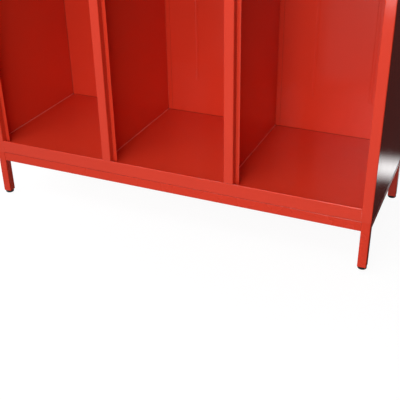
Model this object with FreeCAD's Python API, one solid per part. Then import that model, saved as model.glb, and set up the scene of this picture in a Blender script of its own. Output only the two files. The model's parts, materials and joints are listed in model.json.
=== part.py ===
"""Open-fronted three-bay steel filing cabinet on a tube stand.

Units are millimetres.  +X runs to the right, +Y to the back, +Z up.  The origin is the middle of
the footprint at floor level.  Each named node is one sub-part and is written to parts/NODE.step.
"""

import FreeCAD
import Part
import math
import os

V = FreeCAD.Vector

# ---- driving dimensions ------------------------------------------------------------------------
WIDTH = 1200.0
DEPTH = 460.0
STAND_HEIGHT = 150.0
BODY_HEIGHT = 1800.0
SHEET = 1.0                 # carcass sheet thickness
BEND = 2.0                  # bend radius at the middle of the sheet
FIT = 0.2                   # gap between neighbouring sheets
CORNER = SHEET + BEND       # room left for a folded corner by the sheets inside it

POST_FACE = 28.0            # width of each upright's front face
STOP_DEPTH = 20.0           # how far the door-stop flange is set back
STOP_FLANGE = 11.0          # width of the door-stop flange
RAIL_FACE = 40.0            # height of the bottom and top front rails
LIP = 16.0                  # return lip on rails and rear flanges
HEM = 4.4                   # the front rail's top folds back over this width, sheet middle to middle
FLOOR_DROP = 9.0            # the floor lies this far below the front rail's hem
SIDE_FLANGE = 22.0          # width of the side panels' bottom flanges
SIDE_FLANGE_END = 30.0      # those flanges end this far from the front and the back
LINING_FLANGE = 20.0        # rear flange of the right-hand inner wall
PANEL_END_GAP = 2.0         # back panels stop this far from the body's bottom and top
TRAY_WING_GAP = 2.0         # the trays' side wings are this much shorter than their rails
RIB_OFFSET = 90.0           # the two back ribs stand this far from the panel's middle
RIB_FOOT = 9.0              # half width of a rib at its foot
RIB_SHOULDER = 5.0
RIB_CREST = 3.0
RIB_RISE = 0.8
RIB_END = 120.0             # ribs end this far from the floor and the lintel
BAYS = 3

LEG_TUBE = 25.0
RAIL_TUBE_HIGH = 30.0
RAIL_TUBE_DEEP = 20.0
TUBE_WALL = 1.5
TUBE_CORNER = 2.5
STAND_INSET = 1.0           # the stand is this much smaller than the body on every side
RAIL_RECESS = 1.0           # rails sit this far behind the leg faces
LEG_BOTTOM = 8.5

SHELF_LEVELS = (860.0, 1210.0, 1560.0)   # top faces of the shelves
SHELF_THICK = 25.0
SHELF_SETBACK = 6.0         # gap between the door-stop flange and a shelf's front edge
SHELF_REAR_GAP = 3.0
SHELF_SIDE_GAP = 1.0
STRIP_FRONT = 45.0          # middle of the front strips behind the door-stop flange
STRIP_REAR = 55.0           # middle of the rear strips in front of the back panel
STRIP_WIDE = 20.0
STRIP_DEEP = 8.0
STRIP_BOTTOM = 720.0
STRIP_TOP = 1880.0
SLOT_PITCH = 50.0
SLOT_WIDE = 4.0
SLOT_HIGH = 12.0
CLIP_WIDE = 12.0
CLIP_ARM = 9.0
CLIP_BEND = 1.2
CLIP_FOOT = 1.0             # the clip's foot stands this far above its slot's foot
HOOK_PLAY = 0.4
HOOK_END_PLAY = 2.0

# levelling feet
FOOT_RADIUS = 13.0
FOOT_THICK = 5.0
FOOT_ROUND_LOW = 3.0
FOOT_ROUND_HIGH = 1.0
COLLAR_FLATS = 14.0
COLLAR_THICK = 1.5
SOCKET_RADIUS = 2.7
SOCKET_FLOOR = 1.6
TIP_RADIUS = 2.4
TIP_BOTTOM = 2.0
STUD_RADIUS = 3.95
STUD_TOP = 46.0
STUD_CHAMFER = 0.8
THREAD_DEPTH = 0.65
THREAD_PITCH = 1.25
THREAD_START = 0.5          # first thread above the collar
INSERT_BORE = 4.0
INSERT_FLANGE = 1.4
INSERT_INSET = 0.5          # the insert's flange is this much smaller than the tube on every side
INSERT_PLAY = 0.05
INSERT_DEPTH = 18.0
PLUG_ROUND = 1.2
FLANGE_ROUND = 3.0
FLANGE_EDGE = 1.0
FOOT_GAP = 0.3               # gap from the collar to the base below it and the insert above it

# fixing holes and fasteners
WALL_HOLE_RADIUS = 4.0
WALL_HOLE_X = 400.0
WALL_HOLE_Z = 1850.0
BOLT_RADIUS = 3.0
BOLT_HOLE_RADIUS = 3.5
BOLT_FLATS = 10.0
BOLT_HEAD = 4.0
BOLT_ABOVE = 10.0           # the bolts end this far above the stand
NUT_THICK = 5.0
NUT_PLAY = 0.05
BOLT_Y = 130.0

# ---- derived positions -------------------------------------------------------------------------
LEFT = -WIDTH / 2
RIGHT = WIDTH / 2
FRONT = -DEPTH / 2
BACK = DEPTH / 2
BODY_BOTTOM = STAND_HEIGHT
BODY_TOP = STAND_HEIGHT + BODY_HEIGHT
RAIL_TOP = BODY_BOTTOM + RAIL_FACE       # top of the bottom front rail
FLOOR = RAIL_TOP - FLOOR_DROP            # top face of the cabinet's floor
FOOT_FRONT = FRONT + HEM + SHEET + BEND           # posts reach the floor behind here, clear of the hem
FOOT_BACK = FRONT + STOP_DEPTH + SHEET            # rear face of the door-stop flanges
LINTEL = BODY_TOP - RAIL_FACE            # lower edge of the top front rail
HALF = SHEET / 2
BAY_CLEAR = (WIDTH - (BAYS + 1) * POST_FACE) / BAYS
BAY_PITCH = BAY_CLEAR + POST_FACE
DIVIDER_X = [LEFT + BAY_PITCH * i for i in range(1, BAYS)]   # left faces of the dividers
INNER_WALL_X = LEFT + BAY_PITCH * BAYS   # left face of the right-hand inner wall
TRAY_LEFT = LEFT + POST_FACE + FIT       # ends of the trays' folded middles
TRAY_RIGHT = INNER_WALL_X - FIT
BACK_PANEL = BACK - SHEET                # outer face of the back panels
INNER_BACK = BACK_PANEL - SHEET          # inner face of the back panels
LEG_X = WIDTH / 2 - STAND_INSET - LEG_TUBE / 2
LEG_Y = DEPTH / 2 - STAND_INSET - LEG_TUBE / 2
BAY_NAMES = ("left", "middle", "right")
BAY_WALLS = [(LEFT + SHEET, DIVIDER_X[0]),
             (DIVIDER_X[0] + SHEET, DIVIDER_X[1]),
             (DIVIDER_X[1] + SHEET, INNER_WALL_X)]
CORNERS = {"front_left": (-1, -1), "front_right": (1, -1), "rear_left": (-1, 1), "rear_right": (1, 1)}


# ---- helpers -----------------------------------------------------------------------------------
def box(x0, x1, y0, y1, z0, z1):
    return Part.makeBox(x1 - x0, y1 - y0, z1 - z0, V(x0, y0, z0))


def cylinder(radius, start, end):
    axis = end - start
    return Part.makeCylinder(radius, axis.Length, start, axis)


def hexagon_prism(flats, x, y, z0, z1, turn=0):
    """Upright hexagonal prism; turn is the angle of its first corner in degrees."""
    reach = flats / math.sqrt(3)
    angles = [math.radians(turn + step) for step in range(0, 361, 60)]
    ring = [V(x + reach * math.cos(a), y + reach * math.sin(a), z0) for a in angles]
    return Part.Face(Part.makePolygon(ring)).extrude(V(0, 0, z1 - z0))


def upright_edges(shape):
    return [e for e in shape.Edges if abs(e.tangentAt(e.FirstParameter).z) > 0.9]


def fuse(shapes):
    joined = shapes[0].fuse(shapes[1:]) if len(shapes) > 1 else shapes[0]
    return joined.removeSplitter()


def sheet_outline(points, thickness, radius):
    """Closed outline, as 2-D edges, of a sheet folded along a line of (u, v) points."""
    line = [V(u, v, 0) for u, v in points]
    runs = [(b - a).normalize() for a, b in zip(line, line[1:])]

    def left_of(run):
        return V(-run.y, run.x, 0)

    def side(offset):
        edges = []
        here = line[0] + left_of(runs[0]) * offset
        for i in range(1, len(runs)):
            before, after = runs[i - 1], runs[i]
            turn = math.atan2(before.cross(after).z, before.dot(after))
            trim = radius * math.tan(abs(turn) / 2)
            way = math.copysign(1.0, turn)
            start = line[i] - before * trim
            end = line[i] + after * trim
            centre = start + left_of(before) * radius * way
            middle = centre + (line[i] - centre).normalize() * (radius - way * offset)
            arc_start = start + left_of(before) * offset
            arc_end = end + left_of(after) * offset
            edges.append(Part.LineSegment(here, arc_start).toShape())
            edges.append(Part.Arc(arc_start, middle, arc_end).toShape())
            here = arc_end
        last = line[-1] + left_of(runs[-1]) * offset
        edges.append(Part.LineSegment(here, last).toShape())
        return edges, last

    one, one_end = side(thickness / 2)
    other, other_end = side(-thickness / 2)
    one_start = line[0] + left_of(runs[0]) * thickness / 2
    other_start = line[0] - left_of(runs[0]) * thickness / 2
    caps = [Part.LineSegment(one_end, other_end).toShape(),
            Part.LineSegment(other_start, one_start).toShape()]
    return Part.Wire(Part.__sortEdges__(one + other + caps))


def folded_upright(points, z0, z1, thickness=SHEET, radius=BEND):
    """A sheet folded along (x, y) points, standing from z0 to z1."""
    face = Part.Face(sheet_outline(points, thickness, radius))
    face.translate(V(0, 0, z0))
    return face.extrude(V(0, 0, z1 - z0))


def folded_across(points, x0, x1, thickness=SHEET, radius=BEND):
    """A sheet folded along (y, z) points, lying from x0 to x1."""
    face = Part.Face(sheet_outline(points, thickness, radius))
    turn = FreeCAD.Matrix(0, 0, 1, x0,
                          1, 0, 0, 0,
                          0, 1, 0, 0,
                          0, 0, 0, 1)
    face = face.transformGeometry(turn)
    return face.extrude(V(x1 - x0, 0, 0))


def folded_along(points, y0, y1, thickness=SHEET, radius=BEND):
    """A sheet folded along (x, z) points, lying from y0 to y1."""
    face = Part.Face(sheet_outline(points, thickness, radius))
    face.rotate(V(0, 0, 0), V(1, 0, 0), 90)
    face.translate(V(0, y0, 0))
    return face.extrude(V(0, y1 - y0, 0))


def rounded_tube(wide, deep, wall, corner):
    """Face of a rectangular tube's section, centred on the origin in the XY plane."""
    def ring(w, d, r):
        plate = box(-w / 2, w / 2, -d / 2, d / 2, 0, 1)
        return plate.makeFillet(r, upright_edges(plate))
    outer = ring(wide, deep, corner)
    inner = ring(wide - 2 * wall, deep - 2 * wall, corner - wall)
    solid = outer.cut(inner)
    return [f for f in solid.Faces if f.normalAt(0, 0).z < -0.9][0]


# ---- stand -------------------------------------------------------------------------------------
def leg(sign_x, sign_y):
    tube = rounded_tube(LEG_TUBE, LEG_TUBE, TUBE_WALL, TUBE_CORNER)
    tube.translate(V(sign_x * LEG_X, sign_y * LEG_Y, LEG_BOTTOM))
    return tube.extrude(V(0, 0, STAND_HEIGHT - LEG_BOTTOM))


def long_rail(sign_y):
    """Front or rear rail, welded between two legs."""
    length = 2 * (LEG_X - LEG_TUBE / 2)
    tube = rounded_tube(RAIL_TUBE_HIGH, RAIL_TUBE_DEEP, TUBE_WALL, TUBE_CORNER)
    tube.rotate(V(0, 0, 0), V(0, 1, 0), 90)
    y = DEPTH / 2 - STAND_INSET - RAIL_RECESS - RAIL_TUBE_DEEP / 2
    tube.translate(V(-length / 2, sign_y * y, STAND_HEIGHT - RAIL_TUBE_HIGH / 2))
    return tube.extrude(V(length, 0, 0))


def bolt_x():
    return WIDTH / 2 - STAND_INSET - RAIL_RECESS - RAIL_TUBE_DEEP / 2


def side_rail(sign_x):
    """Left or right rail, with two holes for the bolts that hold the body."""
    length = 2 * (LEG_Y - LEG_TUBE / 2)
    tube = rounded_tube(RAIL_TUBE_DEEP, RAIL_TUBE_HIGH, TUBE_WALL, TUBE_CORNER)
    tube.rotate(V(0, 0, 0), V(1, 0, 0), 90)
    tube.translate(V(sign_x * bolt_x(), length / 2, STAND_HEIGHT - RAIL_TUBE_HIGH / 2))
    rail = tube.extrude(V(0, -length, 0))
    low = STAND_HEIGHT - RAIL_TUBE_HIGH - 1
    for y in (-BOLT_Y, BOLT_Y):
        rail = rail.cut(cylinder(BOLT_HOLE_RADIUS, V(sign_x * bolt_x(), y, low),
                                 V(sign_x * bolt_x(), y, STAND_HEIGHT + 1)))
    return rail


# ---- levelling feet ----------------------------------------------------------------------------
def foot_insert(x, y):
    """Square plastic plug with a threaded bore, pushed into the end of a leg."""
    plug_half = LEG_TUBE / 2 - TUBE_WALL - INSERT_PLAY
    flange_half = LEG_TUBE / 2 - INSERT_INSET
    low = LEG_BOTTOM - INSERT_FLANGE
    plug = box(-plug_half, plug_half, -plug_half, plug_half, LEG_BOTTOM, LEG_BOTTOM + INSERT_DEPTH)
    plug = plug.makeFillet(PLUG_ROUND, upright_edges(plug))
    cap = box(-flange_half, flange_half, -flange_half, flange_half, low, LEG_BOTTOM)
    cap = cap.makeFillet(FLANGE_ROUND, upright_edges(cap))
    cap = cap.makeFillet(FLANGE_EDGE, [e for e in cap.Edges if e.CenterOfMass.z < low + INSERT_PLAY])
    insert = fuse([plug, cap])
    bore = cylinder(INSERT_BORE, V(0, 0, 0), V(0, 0, LEG_BOTTOM + INSERT_DEPTH + 1))
    insert = insert.cut(bore)
    insert.translate(V(x, y, 0))
    return insert


def foot_base(x, y):
    """Round glide that rests on the floor, with a socket for the stud's tip."""
    round_low = FOOT_ROUND_LOW
    round_high = FOOT_ROUND_HIGH
    diagonal = math.sqrt(0.5)
    flat = FOOT_RADIUS - round_low
    top = FOOT_RADIUS - round_high
    p = [V(0, 0, 0), V(flat, 0, 0), V(FOOT_RADIUS, 0, round_low), V(FOOT_RADIUS, 0, FOOT_THICK - round_high),
         V(top, 0, FOOT_THICK), V(SOCKET_RADIUS, 0, FOOT_THICK), V(SOCKET_RADIUS, 0, SOCKET_FLOOR),
         V(0, 0, SOCKET_FLOOR)]
    bulge = V(flat + round_low * diagonal, 0, round_low * (1 - diagonal))
    shoulder = V(top + round_high * diagonal, 0, FOOT_THICK - round_high * (1 - diagonal))
    edges = [Part.LineSegment(p[0], p[1]), Part.Arc(p[1], bulge, p[2]), Part.LineSegment(p[2], p[3]),
             Part.Arc(p[3], shoulder, p[4]), Part.LineSegment(p[4], p[5]), Part.LineSegment(p[5], p[6]),
             Part.LineSegment(p[6], p[7]), Part.LineSegment(p[7], p[0])]
    face = Part.Face(Part.Wire([e.toShape() for e in edges]))
    base = face.revolve(V(0, 0, 0), V(0, 0, 1), 360)
    base.translate(V(x, y, 0))
    return base


def foot_stud(x, y):
    """Threaded stud with a hexagonal collar and a plain tip that turns in the base."""
    root = STUD_RADIUS - THREAD_DEPTH
    collar_low = FOOT_THICK + FOOT_GAP
    collar_high = collar_low + COLLAR_THICK
    points = [V(0, 0, TIP_BOTTOM), V(TIP_RADIUS, 0, TIP_BOTTOM), V(TIP_RADIUS, 0, collar_low),
              V(root, 0, collar_low)]
    z = collar_high + THREAD_START
    while z < STUD_TOP - THREAD_PITCH:
        points += [V(root, 0, z), V(STUD_RADIUS, 0, z + THREAD_PITCH / 2)]
        z += THREAD_PITCH
    points += [V(root, 0, z), V(root - STUD_CHAMFER, 0, STUD_TOP), V(0, 0, STUD_TOP)]
    face = Part.Face(Part.makePolygon(points + points[:1]))
    shank = face.revolve(V(0, 0, 0), V(0, 0, 1), 360)
    stud = shank.fuse(hexagon_prism(COLLAR_FLATS, 0, 0, collar_low, collar_high))
    stud.translate(V(x, y, 0))
    return stud


# ---- carcass -----------------------------------------------------------------------------------
def bottom_flange(x0, x1):
    """Inward flange at the foot of a side panel, over the stand's side rail."""
    flange = box(x0, x1, FRONT + SIDE_FLANGE_END, BACK - SIDE_FLANGE_END, BODY_BOTTOM, BODY_BOTTOM + SHEET)
    x = math.copysign(bolt_x(), x0)
    for y in (-BOLT_Y, BOLT_Y):
        flange = flange.cut(cylinder(BOLT_HOLE_RADIUS, V(x, y, BODY_BOTTOM - 1),
                                     V(x, y, BODY_BOTTOM + 2)))
    return flange


def post_foot(points, x0, x1, y1):
    """Lower end of a folded upright, standing on the floor behind the front rail's hem."""
    reach = box(x0, x1, FOOT_FRONT, y1, FLOOR, RAIL_TOP)
    return folded_upright(points, FLOOR, RAIL_TOP).common(reach)


def left_side_panel():
    """Outer left wall, folded at the front into a post face and a door-stop flange."""
    wall = LEFT + HALF
    post = LEFT + POST_FACE - HALF
    plain = [(LEFT + LIP, BACK - HALF), (wall, BACK - HALF), (wall, FRONT + HALF),
             (LEFT + POST_FACE, FRONT + HALF)]
    stop = plain[:3] + [(post, FRONT + HALF), (post, FRONT + STOP_DEPTH + HALF),
                        (LEFT + POST_FACE + STOP_FLANGE, FRONT + STOP_DEPTH + HALF)]
    shapes = [folded_upright(plain, BODY_BOTTOM, RAIL_TOP), folded_upright(stop, RAIL_TOP, LINTEL),
              folded_upright(plain, LINTEL, BODY_TOP), bottom_flange(LEFT + HALF, LEFT + SIDE_FLANGE),
              post_foot(stop, LEFT + CORNER, LEFT + POST_FACE + STOP_FLANGE, FOOT_BACK)]
    return fuse(shapes)


def right_side_panel():
    """Outer right wall, folded at the front into a post face with a plain return."""
    wall = RIGHT - HALF
    post = INNER_WALL_X + HALF
    plain = [(RIGHT - LIP, BACK - HALF), (wall, BACK - HALF), (wall, FRONT + HALF),
             (INNER_WALL_X, FRONT + HALF)]
    hooked = plain[:3] + [(post, FRONT + HALF), (post, FRONT + STOP_DEPTH)]
    shapes = [folded_upright(plain, BODY_BOTTOM, RAIL_TOP), folded_upright(hooked, RAIL_TOP, LINTEL),
              folded_upright(plain, LINTEL, BODY_TOP), bottom_flange(RIGHT - SIDE_FLANGE, RIGHT - HALF),
              post_foot(hooked, INNER_WALL_X, RIGHT - CORNER, FOOT_BACK)]
    return fuse(shapes)


def divider(x):
    """Wall between two bays, folded at the front into a post face and a door-stop flange."""
    wall = x + HALF
    post = x + POST_FACE - HALF
    rear = INNER_BACK - HALF
    stop = [(x + LIP, rear), (wall, rear), (wall, FRONT + HALF), (post, FRONT + HALF),
            (post, FRONT + STOP_DEPTH + HALF), (x + POST_FACE + STOP_FLANGE, FRONT + STOP_DEPTH + HALF)]
    head = box(x, x + SHEET, FRONT + STOP_DEPTH, INNER_BACK - 2 * SHEET, LINTEL, BODY_TOP - SHEET - FIT)
    foot = post_foot(stop, x, x + POST_FACE + STOP_FLANGE, BACK)
    return fuse([folded_upright(stop, RAIL_TOP, LINTEL), head, foot])


def right_inner_wall():
    """Lining of the right-hand bay, so that all three bays are equally wide."""
    wall = INNER_WALL_X + HALF
    rear = INNER_BACK - HALF
    points = [(INNER_WALL_X + LINING_FLANGE, rear), (wall, rear), (wall, FRONT + STOP_DEPTH + FIT)]
    return folded_upright(points, FLOOR, BODY_TOP - SHEET - FIT)


def tray_sides(front, z0, z1, w0, w1):
    """Flat strips beside a tray's folded middle, with wings along the side panels."""
    side = WIDTH / 2 - SHEET - FIT
    rear = INNER_BACK - FIT
    shapes = []
    for x0, x1, wall in ((-side, TRAY_LEFT, -side), (TRAY_RIGHT, side, side - SHEET)):
        shapes.append(box(x0, x1, front, rear, z0, z1))
        shapes.append(box(wall, wall + SHEET, front, rear, w0, w1))
    return shapes


def floor_tray():
    """Floor, folded up at the front into a hem and the bottom front rail."""
    lip = BODY_BOTTOM + HALF
    top = RAIL_TOP - HALF
    level = FLOOR - HALF
    rear = INNER_BACK - FIT - HALF
    face = FRONT + HALF
    profile = [(FRONT + LIP, lip), (face, lip), (face, top), (face + HEM, top), (face + HEM, level),
               (rear, level), (rear, BODY_BOTTOM)]
    sides = tray_sides(FOOT_BACK + BEND, FLOOR - SHEET, FLOOR, BODY_BOTTOM + TRAY_WING_GAP, FLOOR)
    return fuse([folded_across(profile, TRAY_LEFT, TRAY_RIGHT)] + sides)


def top_tray():
    """Top, folded at the front into the top front rail with a return lip."""
    lip = LINTEL + HALF
    level = BODY_TOP - HALF
    rear = INNER_BACK - FIT - HALF
    profile = [(FRONT + LIP, lip), (FRONT + HALF, lip), (FRONT + HALF, level), (rear, level), (rear, LINTEL)]
    sides = tray_sides(FRONT + CORNER, BODY_TOP - SHEET, BODY_TOP, LINTEL + TRAY_WING_GAP, BODY_TOP)
    return fuse([folded_across(profile, TRAY_LEFT, TRAY_RIGHT)] + sides)


def back_panel(x0, x1):
    """One bay's back sheet, pressed with two shallow stiffening ribs."""
    panel = box(x0, x1, INNER_BACK, BACK_PANEL, BODY_BOTTOM + PANEL_END_GAP, BODY_TOP - PANEL_END_GAP)
    flat = BACK_PANEL - HALF
    crest = flat + RIB_RISE
    rib_low = FLOOR + RIB_END
    rib_high = LINTEL - RIB_END
    for middle in ((x0 + x1) / 2 - RIB_OFFSET, (x0 + x1) / 2 + RIB_OFFSET):
        line = [(middle - RIB_FOOT, flat), (middle - RIB_SHOULDER, flat), (middle - RIB_CREST, crest),
                (middle + RIB_CREST, crest), (middle + RIB_SHOULDER, flat), (middle + RIB_FOOT, flat)]
        rib = folded_upright(line, rib_low, rib_high, SHEET, SHEET)
        gap = box(middle - RIB_FOOT + SHEET, middle + RIB_FOOT - SHEET, INNER_BACK - 1, BACK_PANEL + 1,
                  rib_low, rib_high)
        panel = fuse([panel.cut(gap), rib])
    for x in (-WALL_HOLE_X, WALL_HOLE_X):
        panel = panel.cut(cylinder(WALL_HOLE_RADIUS, V(x, INNER_BACK - 1, WALL_HOLE_Z),
                                   V(x, BACK + 1, WALL_HOLE_Z)))
    return panel


# ---- shelves -----------------------------------------------------------------------------------
def shelf_span(bay):
    x0, x1 = BAY_WALLS[bay]
    clear = STRIP_DEEP + SHELF_SIDE_GAP
    return x0 + clear, x1 - clear


def shelf(bay, level):
    """Folded shelf: the front edge turns down and back, the sides and the rear turn down."""
    x0, x1 = shelf_span(bay)
    front = FRONT + STOP_DEPTH + SHELF_SETBACK
    rear = INNER_BACK - SHELF_REAR_GAP
    low = level - SHELF_THICK
    profile = [(front + LIP, low + HALF), (front + HALF, low + HALF), (front + HALF, level - HALF),
               (rear - HALF, level - HALF), (rear - HALF, low + HALF)]
    shapes = [folded_across(profile, x0, x1)]
    for x in (x0, x1 - SHEET):
        shapes.append(box(x, x + SHEET, front + BEND + HALF, rear - BEND - HALF, low, level - HALF))
    return fuse(shapes)


def strip_places():
    """(y of the strip's middle) for the front and the rear strips."""
    return (FRONT + STOP_DEPTH + STRIP_FRONT, INNER_BACK - STRIP_REAR)


def slotted_strip(wall, side, y):
    """Slotted upright on a bay's wall; side is +1 on a left wall and -1 on a right wall."""
    face = wall + side * (STRIP_DEEP - HALF)
    half = STRIP_WIDE / 2 - HALF
    points = [(wall, y - half), (face, y - half), (face, y + half), (wall, y + half)]
    strip = folded_upright(points, STRIP_BOTTOM, STRIP_TOP)
    x0, x1 = sorted((face - side * CORNER, face + side * SHEET))
    slots = []
    z = STRIP_BOTTOM + SLOT_PITCH / 2
    while z < STRIP_TOP - SLOT_HIGH:
        slots.append(box(x0, x1, y - SLOT_WIDE / 2, y + SLOT_WIDE / 2, z, z + SLOT_HIGH))
        z += SLOT_PITCH
    return strip.cut(slots)


def slot_below(level):
    """Foot of the highest slot that lies under a shelf's lower edge."""
    first = STRIP_BOTTOM + SLOT_PITCH / 2
    count = math.floor((level - SHELF_THICK - SLOT_HIGH - first) / SLOT_PITCH)
    return first + count * SLOT_PITCH


def shelf_clip(wall, side, y, level):
    """Bent bracket hooked into a strip's slot, with its arm under the shelf's edge."""
    face = wall + side * (STRIP_DEEP + HALF)
    top = level - SHELF_THICK
    slot = slot_below(level)
    points = [(face, slot + CLIP_FOOT), (face, top - HALF), (face + side * CLIP_ARM, top - HALF)]
    bracket = folded_along(points, y - CLIP_WIDE / 2, y + CLIP_WIDE / 2, SHEET, CLIP_BEND)
    x0, x1 = sorted((face - side * (CORNER + HALF), face))
    half = SLOT_WIDE / 2 - HOOK_PLAY
    hook = box(x0, x1, y - half, y + half, slot + HOOK_END_PLAY, slot + SLOT_HIGH - HOOK_END_PLAY)
    return fuse([bracket, hook])


# ---- fasteners ---------------------------------------------------------------------------------
def stand_bolt(sign_x, y):
    """Hexagon-head bolt up through the side rail and the side panel's flange."""
    x = sign_x * bolt_x()
    low = STAND_HEIGHT - RAIL_TUBE_HIGH
    head = hexagon_prism(BOLT_FLATS, x, y, low - BOLT_HEAD, low, 30)
    return head.fuse(cylinder(BOLT_RADIUS, V(x, y, low - 1), V(x, y, STAND_HEIGHT + BOLT_ABOVE)))


def stand_nut(sign_x, y):
    x = sign_x * bolt_x()
    low = STAND_HEIGHT + SHEET
    nut = hexagon_prism(BOLT_FLATS, x, y, low, low + NUT_THICK, 30)
    bore = cylinder(BOLT_RADIUS + NUT_PLAY, V(x, y, low - 1), V(x, y, low + NUT_THICK + 1))
    return nut.cut(bore)


# ---- assembly ----------------------------------------------------------------------------------
def build():
    parts = {}
    for name, (sx, sy) in CORNERS.items():
        parts["leg_" + name] = [leg(sx, sy)]
        parts["foot_insert_" + name] = [foot_insert(sx * LEG_X, sy * LEG_Y)]
        parts["foot_base_" + name] = [foot_base(sx * LEG_X, sy * LEG_Y)]
        parts["foot_stud_" + name] = [foot_stud(sx * LEG_X, sy * LEG_Y)]
    parts["stand_front_rail"] = [long_rail(-1)]
    parts["stand_rear_rail"] = [long_rail(1)]
    parts["stand_left_rail"] = [side_rail(-1)]
    parts["stand_right_rail"] = [side_rail(1)]
    parts["stand_bolts"] = [stand_bolt(s, y) for s in (-1, 1) for y in (-BOLT_Y, BOLT_Y)]
    parts["stand_nuts"] = [stand_nut(s, y) for s in (-1, 1) for y in (-BOLT_Y, BOLT_Y)]

    parts["left_side_panel"] = [left_side_panel()]
    parts["right_side_panel"] = [right_side_panel()]
    parts["right_inner_wall"] = [right_inner_wall()]
    parts["left_divider"] = [divider(DIVIDER_X[0])]
    parts["right_divider"] = [divider(DIVIDER_X[1])]
    parts["floor_tray"] = [floor_tray()]
    parts["top_tray"] = [top_tray()]
    seams = [LEFT + CORNER] + [x + LIP / 2 for x in DIVIDER_X] + [RIGHT - CORNER]
    for i, bay in enumerate(BAY_NAMES):
        parts[f"{bay}_back_panel"] = [back_panel(seams[i] + FIT, seams[i + 1] - FIT)]
        for step, level in enumerate(SHELF_LEVELS):
            parts[f"{bay}_shelf_{step + 1}"] = [shelf(i, level)]
        walls = ((BAY_WALLS[i][0], 1), (BAY_WALLS[i][1], -1))
        places = [(wall, side, y) for wall, side in walls for y in strip_places()]
        parts[f"{bay}_slotted_strips"] = [slotted_strip(*place) for place in places]
        parts[f"{bay}_shelf_clips"] = [shelf_clip(*place, level) for place in places
                                       for level in SHELF_LEVELS]
    return parts


def main():
    os.makedirs("parts", exist_ok=True)
    parts = build()
    for name, solids in parts.items():
        flat = [s for shape in solids for s in shape.Solids]
        shape = flat[0] if len(flat) == 1 else Part.makeCompound(flat)
        if not shape.isValid():
            print("NOT VALID:", name)
        shape.exportStep(f"parts/{name}.step")
        bounds = shape.BoundBox
        print(f"{name}: {len(flat)} solids, {shape.Volume / 1000:.1f} cm3, "
              f"x {bounds.XMin:.1f}..{bounds.XMax:.1f} y {bounds.YMin:.1f}..{bounds.YMax:.1f} "
              f"z {bounds.ZMin:.1f}..{bounds.ZMax:.1f}")
    print(len(parts), "nodes")


main()
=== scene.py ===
"""Looks for the open three-bay red steel cabinet: materials, welds, floor seals, light and camera.

Units are metres in the CAD frame: +X to the cabinet's right, +Y to its back, +Z up.
"""

import json
import math
import random

import bmesh
import bpy
from mathutils import Matrix, Vector


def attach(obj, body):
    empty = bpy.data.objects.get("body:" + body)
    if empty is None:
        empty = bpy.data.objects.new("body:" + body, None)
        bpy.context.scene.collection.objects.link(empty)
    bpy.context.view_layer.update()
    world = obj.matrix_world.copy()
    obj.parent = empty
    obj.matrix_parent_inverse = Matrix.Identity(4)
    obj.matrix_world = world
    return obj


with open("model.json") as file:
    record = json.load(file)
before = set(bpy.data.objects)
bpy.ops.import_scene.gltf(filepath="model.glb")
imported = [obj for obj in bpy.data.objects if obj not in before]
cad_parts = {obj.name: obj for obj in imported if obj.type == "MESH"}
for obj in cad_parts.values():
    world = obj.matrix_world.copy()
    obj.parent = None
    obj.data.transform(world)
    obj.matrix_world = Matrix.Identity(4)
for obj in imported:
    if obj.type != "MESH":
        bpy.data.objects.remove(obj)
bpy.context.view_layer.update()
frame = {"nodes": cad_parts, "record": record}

NODES = frame["nodes"]
scene = bpy.context.scene
random.seed(7)               # the beads' unevenness

# ---- dimensions --------------------------------------------------------------------------------
WIDTH = 1.200
DEPTH = 0.460
STAND_HEIGHT = 0.150
LEG_TUBE = 0.025
STAND_INSET = 0.001
RAIL_RECESS = 0.001
RAIL_HIGH = 0.030
RAIL_DEEP = 0.020
LEG_X = WIDTH / 2 - STAND_INSET - LEG_TUBE / 2
LEG_Y = DEPTH / 2 - STAND_INSET - LEG_TUBE / 2
POST_FACE = 0.028
SHEET = 0.001
BAYS = ("left", "middle", "right")
BAY_PITCH = (WIDTH - POST_FACE) / len(BAYS)
FLOOR_LEVEL = 0.181
CORNERS = {"front_left": (-1, -1), "front_right": (1, -1), "rear_left": (-1, 1), "rear_right": (1, 1)}

# ---- weld beads --------------------------------------------------------------------------------
BEAD_RIPPLE = 0.0022         # length of one ripple
BEAD_RINGS = 3               # rings of points in one ripple
BEAD_FEWEST = 6              # ripples on the shortest bead
BEAD_SIDES = 7
BEAD_HALF = 0.0018           # half the bead's width
BEAD_RISE = 0.55             # height over half width
BEAD_SWELL = 0.16            # how far a ripple swells, as a share
BEAD_JITTER = 0.05
BEAD_TAPER = 8               # slope of the rounded ends
BEAD_END = 0.3               # share of the width left at the very ends
BEAD_INSET = 0.003           # a bead stops this far short of the rail's faces

# ---- floor seals -------------------------------------------------------------------------------
SEAL_FRONT = -0.205          # the seals run from behind the posts to the back panels
SEAL_BACK = 0.224
SEAL_RADIUS = 0.0028
SEAL_JITTER = 0.07
SEAL_STEP = 0.012            # spacing of the rings of points
SEAL_ARC_STEPS = 6
SEAL_BITE = 0.0002           # how far a seal sinks into the wall and the floor

# ---- colours (linear) --------------------------------------------------------------------------
RED = (0.740, 0.047, 0.020)
RED_DEEP = (0.700, 0.042, 0.018)
STAND_RED = (0.730, 0.037, 0.011)
STAND_DEEP = (0.690, 0.032, 0.009)
# paint worn thin on edges and lighter there, which also serves as a painted highlight along edges
WORN_HIGHLIGHT_RED = (0.800, 0.110, 0.070)
# the seals' paler red is a painted highlight along the junction of each bay's floor and wall
SEAL_HIGHLIGHT_RED = (0.800, 0.110, 0.080)
SEAL_HIGHLIGHT_PALE = (0.820, 0.150, 0.110)
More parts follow.
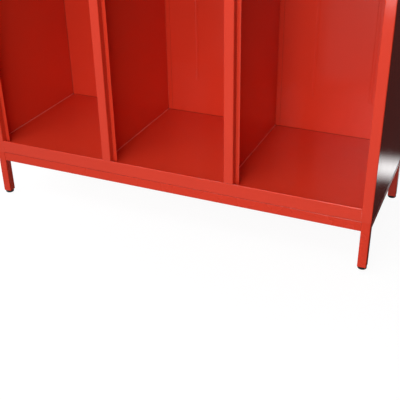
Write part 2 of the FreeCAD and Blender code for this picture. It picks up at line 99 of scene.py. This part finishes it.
# painted shade: the paint is darkened towards this red in tight seams and inside corners, where shade falls
PAINTED_SHADE_RED = (0.180, 0.010, 0.004)
PAINTED_SHADE_DEPTH = 0.8          # how strongly the painted shade darkens the paint in tight seams and inside corners
ZINC = (0.560, 0.570, 0.580)
ZINC_DARK = (0.330, 0.340, 0.350)
BLACK = (0.012, 0.012, 0.013)
BLACK_WORN = (0.045, 0.043, 0.042)
CARD_PALE = (0.120, 0.120, 0.120)
CARD_DEEP = (0.110, 0.110, 0.112)
COAT_IOR = 1.48
NOISE_ROUGHNESS = 0.55

# ---- camera ------------------------------------------------------------------------------------
CAMERA_PLACE = Vector((0.8532, -1.9041, 1.1518))
CAMERA_YAW = math.radians(23.982)
CAMERA_PITCH = math.radians(29.404)
CAMERA_ROLL = math.radians(-0.956)
CAMERA_LENS = 65.55
SENSOR = 36.0
CLIP_END = 100

# ---- light -------------------------------------------------------------------------------------
LIGHTS = {
    "key": {"place": (-0.8, -4.6, 3.3), "aim": (0, 0, 0.8), "wide": 3.6, "high": 1.8, "power": 39.0,
            "colour": (1.0, 0.98, 0.95)},
    "fill": {"place": (0.45, -2.4, 1.0), "aim": (-0.2, 0, 0.8), "wide": 1.0, "high": 1.7, "power": 30.0,
             "colour": (1.0, 0.99, 0.97)},
    "overhead": {"place": (-1.0, -2.8, 4.2), "aim": (-0.8, -1.8, 0), "wide": 4.4, "high": 2.0, "power": 58.0},
    "rear": {"place": (-5.4, 3.4, 1.0), "aim": (0, 0.2, 1.0), "wide": 7.0, "high": 1.7, "power": 190.0},
}
FLOOR_GLOW = 0.92
CARD_SPAN = 60
CARD_LEVEL = -0.0152         # the floor card clears the feet when they are screwed out 15 mm
ABOVE_LEFT = 0.50            # room light from above the horizon, by side
ABOVE_RIGHT = 0.08
BELOW_FRONT = 0.36           # light bounced up from the floor, in front and behind
BELOW_BACK = 0.025
BELOW_RIGHT_SHARE = 0.25
GLOW_LOW = -0.462            # heights, as sines, of the low glow behind the cabinet
GLOW_MIDDLE = -0.442
GLOW_HIGH = -0.422
GLOW_STRENGTH = 1.8
BACKDROP = 0.955


# ---- node helpers ------------------------------------------------------------------------------
class Graph:
    """Short names for building one material's nodes."""

    def __init__(self, name):
        self.material = bpy.data.materials.new(name)
        self.material.use_nodes = True
        self.tree = self.material.node_tree
        self.shader = self.tree.nodes["Principled BSDF"]
        self.place = self.node("ShaderNodeTexCoord").outputs["Object"]

    def node(self, kind, **settings):
        made = self.tree.nodes.new(kind)
        for key, value in settings.items():
            setattr(made, key, value)
        return made

    def link(self, source, target):
        self.tree.links.new(source, target)

    def noise(self, scale, detail=3.0, stretch=(1.0, 1.0, 1.0)):
        shape = self.node("ShaderNodeMapping")
        shape.inputs["Scale"].default_value = stretch
        self.link(self.place, shape.inputs["Vector"])
        made = self.node("ShaderNodeTexNoise")
        made.inputs["Scale"].default_value = scale
        made.inputs["Detail"].default_value = detail
        made.inputs["Roughness"].default_value = NOISE_ROUGHNESS
        self.link(shape.outputs["Vector"], made.inputs["Vector"])
        return made.outputs["Fac"]

    def spread(self, value, low, high, start=0.3, end=0.7):
        """Maps value from start..end to low..high, clamped."""
        made = self.node("ShaderNodeMapRange", clamp=True)
        made.inputs["From Min"].default_value = start
        made.inputs["From Max"].default_value = end
        made.inputs["To Min"].default_value = low
        made.inputs["To Max"].default_value = high
        self.link(value, made.inputs["Value"])
        return made.outputs["Result"]

    def math(self, operation, first, second):
        made = self.node("ShaderNodeMath", operation=operation)
        for socket, value in zip(made.inputs, (first, second)):
            if isinstance(value, float):
                socket.default_value = value
            else:
                self.link(value, socket)
        return made.outputs["Value"]

    def mix(self, factor, first, second):
        """Colour mix; first and second are colours or sockets."""
        made = self.node("ShaderNodeMix", data_type="RGBA")
        self.link(factor, made.inputs["Factor"])
        for key, value in (("A", first), ("B", second)):
            socket = [s for s in made.inputs if s.name == key and s.type == "RGBA"][0]
            if isinstance(value, tuple):
                socket.default_value = (*value, 1.0)
            else:
                self.link(value, socket)
        return [s for s in made.outputs if s.type == "RGBA"][0]

    def bump(self, height, distance, strength=1.0, before=None):
        made = self.node("ShaderNodeBump")
        made.inputs["Distance"].default_value = distance
        made.inputs["Strength"].default_value = strength
        self.link(height, made.inputs["Height"])
        if before is not None:
            self.link(before, made.inputs["Normal"])
        return made.outputs["Normal"]

    def edges(self, radius):
        """About 1 on convex edges and 0 on flats."""
        soft = self.node("ShaderNodeBevel", samples=4)
        soft.inputs["Radius"].default_value = radius
        true = self.node("ShaderNodeNewGeometry")
        dot = self.node("ShaderNodeVectorMath", operation="DOT_PRODUCT")
        self.link(soft.outputs["Normal"], dot.inputs[0])
        self.link(true.outputs["Normal"], dot.inputs[1])
        return self.spread(dot.outputs["Value"], 1.0, 0.0, 0.80, 0.995)

    def painted_shade(self, reach):
        """Painted shade mask: 1 in tight seams and inside corners, where shade falls, and 0 in the open."""
        made = self.node("ShaderNodeAmbientOcclusion", samples=6)
        made.inputs["Distance"].default_value = reach
        return self.spread(made.outputs["AO"], 1.0, 0.0, 0.35, 0.80)


# ---- materials ---------------------------------------------------------------------------------
def powder_coat(name, colour, deep, roughness, peel):
    """Glossy powder coat with orange peel, faint mottling and smears; edges lighter as worn paint and as a
    painted highlight; painted shade darkening tight seams and inside corners.
    """
    g = Graph(name)
    mottle = g.spread(g.noise(scale=4.0), low=0.0, high=0.6)
    body = g.mix(mottle, colour, deep)
    patches = g.spread(g.noise(scale=60.0, detail=6.0), low=0.0, high=0.55, start=0.45, end=0.65)
    # edges lighter, as worn paint and as a painted highlight
    wear_and_highlight = g.math("MULTIPLY", g.edges(radius=0.0012), patches)
    # painted shade: darkens the paint in tight seams and inside corners
    joint_shade = g.math("MULTIPLY", g.painted_shade(reach=0.004), PAINTED_SHADE_DEPTH)
    g.link(g.mix(wear_and_highlight, g.mix(joint_shade, body, PAINTED_SHADE_RED), WORN_HIGHLIGHT_RED), g.shader.inputs["Base Color"])
    smears = g.spread(g.noise(scale=7.0), low=-0.02, high=0.04)
    g.link(g.math("ADD", smears, roughness), g.shader.inputs["Roughness"])
    skin = g.bump(g.noise(scale=420.0, detail=2.0), distance=peel)
    waves = g.bump(g.noise(scale=4.0, detail=1.0), distance=0.0004, strength=0.06, before=skin)
    g.link(waves, g.shader.inputs["Normal"])
    g.shader.inputs["IOR"].default_value = COAT_IOR
    return g.material


def zinc_plate():
    """Bright zinc-plated steel with fine turning marks and dull patches."""
    g = Graph("zinc_steel")
    patches = g.spread(g.noise(scale=90.0, detail=5.0), low=0.0, high=1.0)
    g.link(g.mix(patches, ZINC, ZINC_DARK), g.shader.inputs["Base Color"])
    dull = g.spread(g.noise(scale=300.0, detail=4.0, stretch=(1.0, 1.0, 6.0)), low=0.22, high=0.42)
    g.link(dull, g.shader.inputs["Roughness"])
    marks = g.noise(scale=900.0, stretch=(1.0, 1.0, 8.0))
    g.link(g.bump(marks, distance=0.00003), g.shader.inputs["Normal"])
    g.shader.inputs["Metallic"].default_value = 1.0
    return g.material


def moulded_plastic(name):
    """Black moulded plastic with a fine grain and rubbed edges."""
    g = Graph(name)
    rubbed = g.spread(g.noise(scale=200.0, detail=4.0), low=0.2, high=1.0)
    edge = g.math("MULTIPLY", g.edges(radius=0.0010), rubbed)
    g.link(g.mix(edge, BLACK, BLACK_WORN), g.shader.inputs["Base Color"])
    dull = g.spread(g.noise(scale=250.0, detail=4.0), low=0.38, high=0.58)
    g.link(dull, g.shader.inputs["Roughness"])
    g.link(g.bump(g.noise(scale=1400.0, detail=2.0), distance=0.00005), g.shader.inputs["Normal"])
    return g.material


def weld_paint():
    """The stand's paint over the rippled surface of a weld."""
    g = Graph("weld_paint")
    g.link(g.mix(g.noise(scale=40.0), STAND_RED, STAND_DEEP), g.shader.inputs["Base Color"])
    g.link(g.spread(g.noise(scale=120.0), low=0.26, high=0.42), g.shader.inputs["Roughness"])
    g.link(g.bump(g.noise(scale=260.0, detail=2.0), distance=0.00025), g.shader.inputs["Normal"])
    return g.material


def seal_highlight_paint():
    """Overpainted sealant, duller than the paint on the sheet; its paler red is a painted highlight along the
    junction of floor and wall.
    """
    g = Graph("seal_highlight_paint")
    # paler red: a painted highlight
    g.link(g.mix(g.noise(scale=90.0), SEAL_HIGHLIGHT_RED, SEAL_HIGHLIGHT_PALE), g.shader.inputs["Base Color"])
    g.link(g.spread(g.noise(scale=150.0), low=0.35, high=0.50), g.shader.inputs["Roughness"])
    g.link(g.bump(g.noise(scale=220.0, detail=2.0), distance=0.0002), g.shader.inputs["Normal"])
    return g.material


def floor_paint():
    """Pale matt floor with a glow of its own, like a light table."""
    g = Graph("studio_floor")
    g.link(g.mix(g.noise(scale=1.2), CARD_PALE, CARD_DEEP), g.shader.inputs["Base Color"])
    g.link(g.spread(g.noise(scale=3.0, detail=2.0), low=0.70, high=0.80), g.shader.inputs["Roughness"])
    g.shader.inputs["Specular IOR Level"].default_value = 0.1
    g.shader.inputs["Emission Color"].default_value = (1.0, 1.0, 1.0, 1.0)
    g.shader.inputs["Emission Strength"].default_value = FLOOR_GLOW
    return g.material


# ---- pieces ------------------------------------------------------------------------------------
def finish_mesh(name, bm, material, body):
    """Turns a bmesh into a smooth-shaded piece that rides on a CAD body."""
    bmesh.ops.recalc_face_normals(bm, faces=bm.faces)
    mesh = bpy.data.meshes.new(name)
    bm.to_mesh(mesh)
    bm.free()
    for face in mesh.polygons:
        face.use_smooth = True
    made = bpy.data.objects.new(name, mesh)
    scene.collection.objects.link(made)
    mesh.materials.append(material)
    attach(made, body)


def skin_loops(bm, loops):
    """Joins a row of closed loops into a solid with flat ends."""
    for one, two in zip(loops, loops[1:]):
        for j in range(len(one)):
            k = (j + 1) % len(one)
            bm.faces.new((one[j], one[k], two[k], two[j]))
    bm.faces.new(loops[0])
    bm.faces.new(list(reversed(loops[-1])))


def weld_bead(name, start, end, away, material):
    """Rippled fillet of weld from start to end, with its hump towards away."""
    ripples = max(BEAD_FEWEST, int((end - start).length / BEAD_RIPPLE))
    rings = ripples * BEAD_RINGS
    along = (end - start).normalized()
    across = along.cross(away).normalized()
    bm = bmesh.new()
    loops = []
    for i in range(rings + 1):
        share = i / rings
        swell = 1.0 + BEAD_SWELL * math.sin(share * ripples * 2 * math.pi)
        swell += random.uniform(-BEAD_JITTER, BEAD_JITTER)
        taper = min(1.0, BEAD_TAPER * share + BEAD_END, BEAD_TAPER * (1 - share) + BEAD_END)
        half = BEAD_HALF * taper * swell
        middle = start.lerp(end, share)
        loop = []
        for j in range(BEAD_SIDES):
            angle = math.pi * j / (BEAD_SIDES - 1)
            out = across * half * math.cos(angle) + away * half * BEAD_RISE * math.sin(angle)
            loop.append(bm.verts.new(middle + out))
        loops.append(loop)
    skin_loops(bm, loops)
    finish_mesh(name, bm, material, "cabinet")


def stand_welds(material):
    """Beads under the rails, where each rail meets a leg."""
    low = STAND_HEIGHT - RAIL_HIGH
    for corner, (sx, sy) in CORNERS.items():
        x_joint = sx * (LEG_X - LEG_TUBE / 2)
        y_joint = sy * (LEG_Y - LEG_TUBE / 2)
        rail_y = sy * (DEPTH / 2 - STAND_INSET - RAIL_RECESS)
        rail_x = sx * (WIDTH / 2 - STAND_INSET - RAIL_RECESS)
        weld_bead(f"weld_long_{corner}", Vector((x_joint, rail_y - sy * BEAD_INSET, low)),
                  Vector((x_joint, rail_y - sy * (RAIL_DEEP - BEAD_INSET), low)),
                  Vector((-sx, 0, -1)).normalized(), material)
        weld_bead(f"weld_side_{corner}", Vector((rail_x - sx * BEAD_INSET, y_joint, low)),
                  Vector((rail_x - sx * (RAIL_DEEP - BEAD_INSET), y_joint, low)),
                  Vector((0, -sy, -1)).normalized(), material)


def seal_bead(name, x, from_wall, material):
    """Quarter-round bead of sealant along a bay's floor, against the wall at x."""
    steps = int((SEAL_BACK - SEAL_FRONT) / SEAL_STEP)
    bm = bmesh.new()
    loops = []
    for i in range(steps + 1):
        y = SEAL_FRONT + (SEAL_BACK - SEAL_FRONT) * i / steps
        radius = SEAL_RADIUS * random.uniform(1 - SEAL_JITTER, 1 + SEAL_JITTER)
        loop = [bm.verts.new((x - from_wall * SEAL_BITE, y, FLOOR_LEVEL - SEAL_BITE))]
        for j in range(SEAL_ARC_STEPS + 1):
            angle = math.pi / 2 * j / SEAL_ARC_STEPS
            out = radius * math.cos(angle) - SEAL_BITE
            up = radius * math.sin(angle) - SEAL_BITE
            loop.append(bm.verts.new((x + from_wall * out, y, FLOOR_LEVEL + up)))
        loops.append(loop)
    skin_loops(bm, loops)
    finish_mesh(name, bm, material, "cabinet")


def floor_seals(material):
    """Beads along both walls of each bay."""
    for number, bay in enumerate(BAYS):
        wall = -WIDTH / 2 + number * BAY_PITCH
        seal_bead(f"{bay}_bay_seal_left", wall + SHEET, 1, material)
        seal_bead(f"{bay}_bay_seal_right", wall + BAY_PITCH, -1, material)


# ---- assign the frame's materials --------------------------------------------------------------
def dress_frame():
    paints = {
        "cabinet_paint": powder_coat("cabinet_paint", RED, RED_DEEP, roughness=0.09, peel=0.00002),
        "back_paint": powder_coat("back_paint", RED, RED_DEEP, roughness=0.18, peel=0.00002),
        "shelf_paint": powder_coat("shelf_paint", RED, RED_DEEP, roughness=0.24, peel=0.00002),
        "strip_paint": powder_coat("strip_paint", RED, RED_DEEP, roughness=0.26, peel=0.00002),
        "stand_paint": powder_coat("stand_paint", STAND_RED, STAND_DEEP, roughness=0.26, peel=0.00003),
        "zinc_steel": zinc_plate(),
        "insert_plastic": moulded_plastic("insert_plastic"),
        "foot_plastic": moulded_plastic("foot_plastic"),
    }
    slots = {entry["node"]: entry["material_slot"] for entry in frame["record"]["subparts"]}
    for name, made in NODES.items():
        made.data.materials.clear()
        made.data.materials.append(paints[slots[name]])


# ---- stage -------------------------------------------------------------------------------------
def floor_card(material):
    """Square card under the cabinet, seen by the camera but not by the paint."""
    bm = bmesh.new()
    bmesh.ops.create_grid(bm, x_segments=1, y_segments=1, size=CARD_SPAN / 2)
    bmesh.ops.translate(bm, vec=(0, 0, CARD_LEVEL), verts=bm.verts)
    mesh = bpy.data.meshes.new("studio_floor")
    bm.to_mesh(mesh)
    bm.free()
    made = bpy.data.objects.new("studio_floor", mesh)
    scene.collection.objects.link(made)
    mesh.materials.append(material)
    made.visible_glossy = False
    made.visible_diffuse = False
    made.visible_shadow = False


def area_light(name, place, aim, wide, high, power, colour=(1.0, 1.0, 1.0)):
    data = bpy.data.lights.new(name, "AREA")
    data.shape = "RECTANGLE"
    data.size = wide
    data.size_y = high
    data.energy = power
    data.color = colour
    made = bpy.data.objects.new(name, data)
    made.visible_camera = False
    made.location = place
    made.rotation_euler = (Vector(aim) - Vector(place)).to_track_quat("-Z", "Y").to_euler()
    scene.collection.objects.link(made)


def build_stage():
    floor_card(floor_paint())
    build_world()
    for name, settings in LIGHTS.items():
        area_light(name, **settings)


class Surround:
    """World nodes: brightness by the direction a ray leaves the scene in."""

    def __init__(self):
        self.world = bpy.data.worlds.new("studio")
        self.world.use_nodes = True
        self.tree = self.world.node_tree
        direction = self.tree.nodes.new("ShaderNodeTexCoord")
        split = self.tree.nodes.new("ShaderNodeSeparateXYZ")
        self.tree.links.new(direction.outputs["Generated"], split.inputs["Vector"])
        self.x, self.y, self.z = (split.outputs[axis] for axis in "XYZ")

    def fade(self, value, start, end, low, high):
        made = self.tree.nodes.new("ShaderNodeMapRange")
        made.interpolation_type = "SMOOTHSTEP"
        for key, number in (("From Min", start), ("From Max", end), ("To Min", low), ("To Max", high)):
            made.inputs[key].default_value = number
        self.tree.links.new(value, made.inputs["Value"])
        return made.outputs["Result"]

    def math(self, operation, first, second):
        made = self.tree.nodes.new("ShaderNodeMath")
        made.operation = operation
        self.tree.links.new(first, made.inputs[0])
        self.tree.links.new(second, made.inputs[1])
        return made.outputs["Value"]

    def light(self, strength=1.0):
        made = self.tree.nodes.new("ShaderNodeBackground")
        made.inputs["Color"].default_value = (1.0, 1.0, 1.0, 1.0)
        made.inputs["Strength"].default_value = strength
        return made


def build_world():
    """Soft room light: brighter on the left and in front, dim on the right, with a low glow far behind."""
    room = Surround()
    above = room.fade(room.x, start=-0.6, end=0.8, low=ABOVE_LEFT, high=ABOVE_RIGHT)
    front = room.fade(room.y, start=-0.3, end=0.3, low=BELOW_FRONT, high=BELOW_BACK)
    right = room.fade(room.x, start=0.0, end=0.5, low=1.0, high=BELOW_RIGHT_SHARE)
    below = room.math("MULTIPLY", front, right)
    is_above = room.fade(room.z, start=-0.15, end=0.05, low=0.0, high=1.0)
    is_below = room.fade(room.z, start=-0.15, end=0.05, low=1.0, high=0.0)
    rise = room.fade(room.z, start=GLOW_LOW, end=GLOW_MIDDLE, low=0.0, high=GLOW_STRENGTH)
    fall = room.fade(room.z, start=GLOW_MIDDLE, end=GLOW_HIGH, low=1.0, high=0.0)
    behind = room.fade(room.y, start=0.5, end=0.8, low=0.0, high=1.0)
    glow = room.math("MULTIPLY", room.math("MULTIPLY", rise, fall), behind)
    total = room.math("ADD", room.math("MULTIPLY", above, is_above), room.math("MULTIPLY", below, is_below))
    total = room.math("ADD", total, glow)
    surround = room.light()
    room.tree.links.new(total, surround.inputs["Strength"])
    backdrop = room.light(BACKDROP)
    seen = room.tree.nodes.new("ShaderNodeLightPath")
    choose = room.tree.nodes.new("ShaderNodeMixShader")
    room.tree.links.new(seen.outputs["Is Camera Ray"], choose.inputs["Fac"])
    room.tree.links.new(surround.outputs["Background"], choose.inputs[1])
    room.tree.links.new(backdrop.outputs["Background"], choose.inputs[2])
    room.tree.links.new(choose.outputs["Shader"], room.tree.nodes["World Output"].inputs["Surface"])
    scene.world = room.world


def build_camera():
    sin, cos = math.sin, math.cos
    yaw, pitch, roll = CAMERA_YAW, CAMERA_PITCH, CAMERA_ROLL
    forward = Vector((-sin(yaw) * cos(pitch), cos(yaw) * cos(pitch), -sin(pitch)))
    right = Vector((cos(yaw), sin(yaw), 0))
    up = right.cross(forward)
    turned_right = right * cos(roll) + up * sin(roll)
    turned_up = up * cos(roll) - right * sin(roll)
    rotation = Matrix((turned_right, turned_up, -forward)).transposed()
    data = bpy.data.cameras.new("camera")
    data.sensor_width = SENSOR
    data.lens = CAMERA_LENS
    data.clip_end = CLIP_END
    made = bpy.data.objects.new("camera", data)
    made.matrix_world = Matrix.Translation(CAMERA_PLACE) @ rotation.to_4x4()
    scene.collection.objects.link(made)
    scene.camera = made


def main():
    dress_frame()
    stand_welds(weld_paint())
    floor_seals(seal_highlight_paint())
    build_stage()
    build_camera()
    scene.view_settings.view_transform = "Standard"


main()
